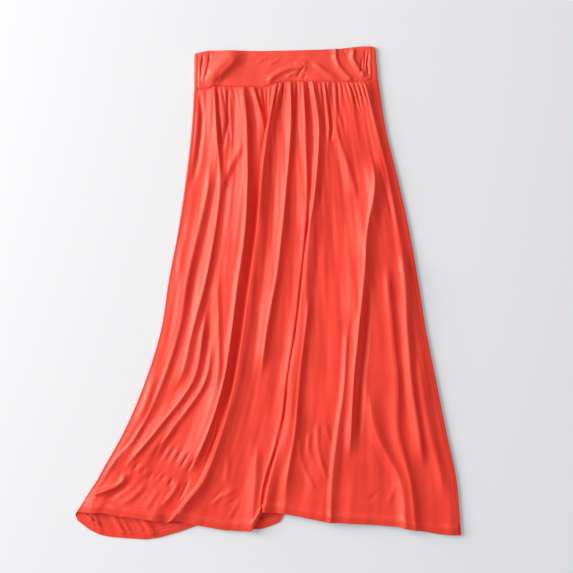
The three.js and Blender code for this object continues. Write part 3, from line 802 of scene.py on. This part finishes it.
band_outer = np.stack([x, y, LIE + rise - draw_in], axis=-1)
band_inner = np.stack([x, y, LIE + rise - BAND_CLOTH + draw_in], axis=-1)
band_front = cloth_wall("band_front", band_outer, band_inner)
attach(band_front, "root")
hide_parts("waistband_front")

# %% Back of the waistband
outer_table, inner_table = [], []
for place in tube_columns:
    side_x, z, inward_x, inward_z = tube_column(place, band_edges(band_rows), 0.0)
    y, from_top, _ = band_y(side_x, band_rows)
    draw_in = rolled(from_top, BAND_CLOTH)
    for table, depth in ((outer_table, draw_in), (inner_table, BAND_CLOTH - draw_in)):
        table.append(np.stack([side_x + depth * inward_x, y, z + depth * inward_z], axis=-1))
band_back = cloth_wall("band_back", np.array(outer_table), np.array(inner_table))
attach(band_back, "root")
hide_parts("waistband_back")

# %% [markdown]
# ## Sewing
# A twin needle leaves two close rows of short stitches on the right side of each hem. Each
# stitch is a small capsule of thread that lies along the row and is half sunk in the cloth. The
# raw edge inside is overlocked: there the thread runs to and fro across the edge. One helper
# lays both, because both are capsules at even steps along a curve.

# %% Stitches along a curve
STITCH = 3.2               # from one stitch to the next
THREAD = 0.55              # radius of the thread
BATCH = 30                 # stitches made at a time, since a long mesh takes long to add to
PROUD = 0.1                # how far the middle of a stitch is above the cloth


def spaced(curve, step):
    """Points at even steps along a curve, with the direction there."""
    lengths = np.concatenate([[0], np.cumsum(np.linalg.norm(np.diff(curve, axis=0), axis=1))])
    stations = np.arange(step / 2, lengths[-1], step)

    def points_at(where):
        return np.stack([np.interp(where, lengths, curve[:, k]) for k in range(3)], axis=-1)

    return points_at(stations), points_at(stations + step / 3) - points_at(stations - step / 3)


def sewn(name, rows):
    """rows are (curve, step, length of a stitch, slant in degrees)."""
    seam = bmesh.new()
    mesh = bpy.data.meshes.new(name)
    count = 0
    for curve, step, length, slant in rows:
        stitches = list(zip(*spaced(curve, step)))
        for first in range(0, len(stitches), BATCH):
            batch = bmesh.new()
            for k, (point, way) in enumerate(stitches[first:first + BATCH], first):
                turn = Vector(way).to_track_quat("X", "Z").to_matrix().to_4x4()
                lean = Matrix.Rotation(math.radians(slant if k % 2 else -slant), 4, "Z")
                size = Matrix.Diagonal((length / 2 * MM, THREAD * MM, THREAD * MM, 1))
                place = Matrix.Translation(Vector(point) * MM) @ turn @ lean @ size
                bmesh.ops.create_uvsphere(batch, u_segments=6, v_segments=4, radius=1, matrix=place)
            batch.to_mesh(mesh)
            batch.free()
            seam.from_mesh(mesh)
        count += len(stitches)
    for face in seam.faces:
        face.smooth = True
    seam.to_mesh(mesh)
    seam.free()
    piece = bpy.data.objects.new(name, mesh)
    bpy.context.scene.collection.objects.link(piece)
    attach(piece, "root")
    print(name, "has", count, "stitches")
    return piece


# %% Hem stitches of the front
front_length = (front_y[:, LAST - 1] - front_y[:, LAST])[:, None]


def front_row(up):
    x, y, z = (table[:, 0] for table in front_face(LAST - up / front_length))
    return np.stack([x, y, z + PROUD], axis=-1)[1:-1]


front_stitches = sewn("front_hem_stitches", [(front_row(up), STITCH, 2.5, 0) for up in TWIN_ROWS])

# %% Hem stitches and overlocked edge of the back
last_row = np.argmax(row_up)
inside_edge = back_outer[ARC_STEPS + 1:-ARC_STEPS - 1, last_row] + [0, 0, PROUD]
first_turned = int(np.argmax(turned))
inside_needle = mix(back_outer[:, first_turned + 2], back_outer[:, first_turned + 3], 0.4)
inside_needle = inside_needle[ARC_STEPS + 1:-ARC_STEPS - 1] + [0, 0, PROUD]
back_stitches = sewn("back_hem_stitches", [
    (inside_edge, 2.0, 3.4, 55), (inside_needle, 2.6, 3.0, 40),
])

# %% [markdown]
# ## Jersey
# Fine viscose jersey is a flat knit: close rows of tiny loops, soft to the light, with a little
# bloom on the folds. Its colour comes from a saturated dye with a broad pale highlight over it.
# The loops follow the cloth, so they read each piece's own UV map. A slow noise varies the
# colour as handling and light do, and a fine one breaks up the surface like lint.

# %% A finish of coral jersey
PANEL_KNIT = (740, 800)    # repeats of the knit across and down a panel
BAND_KNIT = (340, 64)      # and a band


def jersey(name, deep, bright, knit):
    material = bpy.data.materials.new(name)
    material.use_nodes = True
    nodes, links = material.node_tree.nodes, material.node_tree.links
    shader = nodes["Principled BSDF"]
    shader.inputs["Roughness"].default_value = 0.42
    shader.inputs["Specular IOR Level"].default_value = 0.5
    shader.inputs["Specular Tint"].default_value = (1.0, 0.80, 0.64, 1)
    shader.inputs["Sheen Weight"].default_value = 0.10
    shader.inputs["Sheen Roughness"].default_value = 0.45
    shader.inputs["Sheen Tint"].default_value = (1.0, 0.60, 0.42, 1)

    where = nodes.new("ShaderNodeTexCoord")
    mottle = nodes.new("ShaderNodeTexNoise")
    mottle.inputs["Scale"].default_value = 14
    mottle.inputs["Detail"].default_value = 4
    links.new(where.outputs["Object"], mottle.inputs["Vector"])
    lint = nodes.new("ShaderNodeTexNoise")
    lint.inputs["Scale"].default_value = 420
    lint.inputs["Detail"].default_value = 3
    links.new(where.outputs["Object"], lint.inputs["Vector"])
    tone = nodes.new("ShaderNodeMath")
    tone.operation = "MULTIPLY_ADD"
    tone.inputs[1].default_value = 0.35
    links.new(lint.outputs["Fac"], tone.inputs[0])
    links.new(mottle.outputs["Fac"], tone.inputs[2])
    dye = nodes.new("ShaderNodeValToRGB")
    dye.color_ramp.elements[0].position = 0.45
    dye.color_ramp.elements[0].color = (*deep, 1)
    dye.color_ramp.elements[1].position = 0.85
    dye.color_ramp.elements[1].color = (*bright, 1)
    links.new(tone.outputs["Value"], dye.inputs["Fac"])
    links.new(dye.outputs["Color"], shader.inputs["Base Color"])

    cloth_map = nodes.new("ShaderNodeUVMap")
    cloth_map.uv_map = "knit"
    scale = nodes.new("ShaderNodeMapping")
    scale.inputs["Scale"].default_value = (knit[0], knit[1], 1)
    links.new(cloth_map.outputs["UV"], scale.inputs["Vector"])
    wales = nodes.new("ShaderNodeTexWave")
    wales.bands_direction = "X"
    wales.inputs["Scale"].default_value = 0.3
    wales.inputs["Distortion"].default_value = 0.6
    courses = nodes.new("ShaderNodeTexWave")
    courses.bands_direction = "Y"
    courses.inputs["Scale"].default_value = 0.3
    courses.inputs["Distortion"].default_value = 0.8
    for wave in (wales, courses):
        links.new(scale.outputs["Vector"], wave.inputs["Vector"])
    loops = nodes.new("ShaderNodeMath")
    loops.operation = "MULTIPLY"
    links.new(wales.outputs["Fac"], loops.inputs[0])
    links.new(courses.outputs["Fac"], loops.inputs[1])
    relief = nodes.new("ShaderNodeMath")
    relief.operation = "MULTIPLY_ADD"
    relief.inputs[1].default_value = 0.6
    links.new(lint.outputs["Fac"], relief.inputs[0])
    links.new(loops.outputs["Value"], relief.inputs[2])
    knit_bump = nodes.new("ShaderNodeBump")
    knit_bump.inputs["Strength"].default_value = 0.35
    knit_bump.inputs["Distance"].default_value = 0.0003
    links.new(relief.outputs["Value"], knit_bump.inputs["Height"])
    links.new(knit_bump.outputs["Normal"], shader.inputs["Normal"])
    return material


front_jersey = jersey("coral_jersey", (0.675, 0.053, 0.033), (0.755, 0.067, 0.043), PANEL_KNIT)
band_jersey = jersey("coral_jersey_band", (0.695, 0.071, 0.046), (0.765, 0.089, 0.060), BAND_KNIT)
back_jersey = jersey("coral_jersey_back", (0.655, 0.047, 0.029), (0.735, 0.060, 0.038), PANEL_KNIT)
front_panel.data.materials.append(front_jersey)
band_front.data.materials.append(band_jersey)
band_back.data.materials.append(band_jersey)
back_panel.data.materials.append(back_jersey)
print("three jerseys for four pieces of cloth")

# %% [markdown]
# ## Thread
# The thread is smoother than the cloth and a lighter coral: partly its own dye, partly a painted
# highlight for the light on the raised stitches. Its ply shows as a fine twist.

# %% Thread
thread = bpy.data.materials.new("coral_thread")
thread.use_nodes = True
thread_nodes, thread_links = thread.node_tree.nodes, thread.node_tree.links
thread_shader = thread_nodes["Principled BSDF"]
thread_shader.inputs["Roughness"].default_value = 0.42
thread_shader.inputs["Sheen Weight"].default_value = 0.15
thread_place = thread_nodes.new("ShaderNodeTexCoord")
ply = thread_nodes.new("ShaderNodeTexNoise")
ply.inputs["Scale"].default_value = 900
thread_links.new(thread_place.outputs["Object"], ply.inputs["Vector"])
# Partly a painted highlight: both ends of this ramp are lighter than the cloth's dye, so the stitches
# show as bright lines.
thread_dye_and_highlight = thread_nodes.new("ShaderNodeValToRGB")
thread_dye_and_highlight.color_ramp.elements[0].color = (0.80, 0.085, 0.055, 1)
thread_dye_and_highlight.color_ramp.elements[1].color = (0.95, 0.130, 0.090, 1)
thread_links.new(ply.outputs["Fac"], thread_dye_and_highlight.inputs["Fac"])
thread_links.new(thread_dye_and_highlight.outputs["Color"], thread_shader.inputs["Base Color"])
ply_bump = thread_nodes.new("ShaderNodeBump")
ply_bump.inputs["Strength"].default_value = 0.3
ply_bump.inputs["Distance"].default_value = 0.0002
thread_links.new(ply.outputs["Fac"], ply_bump.inputs["Height"])
thread_links.new(ply_bump.outputs["Normal"], thread_shader.inputs["Normal"])
for piece in (front_stitches, back_stitches):
    piece.data.materials.append(thread)
print("thread on the two hems")

# %% [markdown]
# ## Sheets of cloth
# The skirt panels flare from waist to hem, so their area is smaller than a rectangle of that width and
# length.

# %% The sheets
print("four sheets of cloth")

# %% [markdown]
# ## Floor, light and camera
# The skirt lies on a plain white surface under one large soft light at the upper left, with a
# faint one at the lower right. Coral cloth throws red light into its own folds, more than the
# few bounces here give, so the weak light that comes from all round is red. White paper would
# turn pink in it. So the paper gives off about as much green and blue as that light lacks, and
# looks white at any distance. The camera hangs straight above, and its lens is worked out from
# its height and the width that it takes in.

# %% Floor
FLOOR_REACH = 40               # metres from the middle to each side
bm = bmesh.new()
bmesh.ops.create_grid(bm, x_segments=1, y_segments=1, size=FLOOR_REACH)
floor_mesh = bpy.data.meshes.new("floor")
bm.to_mesh(floor_mesh)
bm.free()
floor = bpy.data.objects.new("floor", floor_mesh)
bpy.context.scene.collection.objects.link(floor)
paper = bpy.data.materials.new("pale_paper")
paper.use_nodes = True
paper_shader = paper.node_tree.nodes["Principled BSDF"]
paper_shader.inputs["Base Color"].default_value = (0.646, 0.646, 0.650, 1)
paper_shader.inputs["Roughness"].default_value = 0.8
paper_shader.inputs["Specular IOR Level"].default_value = 0.0
paper_shader.inputs["Emission Color"].default_value = (0.0, 0.92, 1.0, 1)
paper_shader.inputs["Emission Strength"].default_value = 0.24
floor_mesh.materials.append(paper)
print("floor", [round(side, 1) for side in floor.dimensions[:2]], "m")


# %% Lights
def softbox(name, place, size, power):
    """A square light, size metres across, that faces the skirt."""
    light = bpy.data.lights.new(name, "AREA")
    light.shape = "SQUARE"
    light.size = size
    light.energy = power
    lamp = bpy.data.objects.new(name, light)
    lamp.location = place
    lamp.rotation_mode = "QUATERNION"
    lamp.rotation_quaternion = (-Vector(place)).to_track_quat("-Z", "Y")
    bpy.context.scene.collection.objects.link(lamp)
    return lamp


softbox("key", (-4.2, 1.3, 2.15), size=3.4, power=437)
softbox("fill", (1.8, -1.2, 2.6), size=2.4, power=6)
world = bpy.data.worlds.new("studio")
world.use_nodes = True
all_round = world.node_tree.nodes["Background"]
all_round.inputs["Color"].default_value = (1.0, 0.38, 0.36, 1)
all_round.inputs["Strength"].default_value = 0.55
bpy.context.scene.world = world
bpy.context.scene.view_settings.view_transform = "Standard"
print("key, fill and studio light")

# %% Camera
PHOTO_WIDTH = 1.0887           # metres across the frame at the surface
PHOTO_CENTRE = (0.0344, 0.0125)
CAMERA_HEIGHT = 2.4
camera_data = bpy.data.cameras.new("camera")
camera_data.lens = camera_data.sensor_width * CAMERA_HEIGHT / PHOTO_WIDTH
camera = bpy.data.objects.new("camera", camera_data)
camera.location = (*PHOTO_CENTRE, CAMERA_HEIGHT)
bpy.context.scene.collection.objects.link(camera)
bpy.context.scene.camera = camera
print("lens", round(camera_data.lens, 1), "mm")
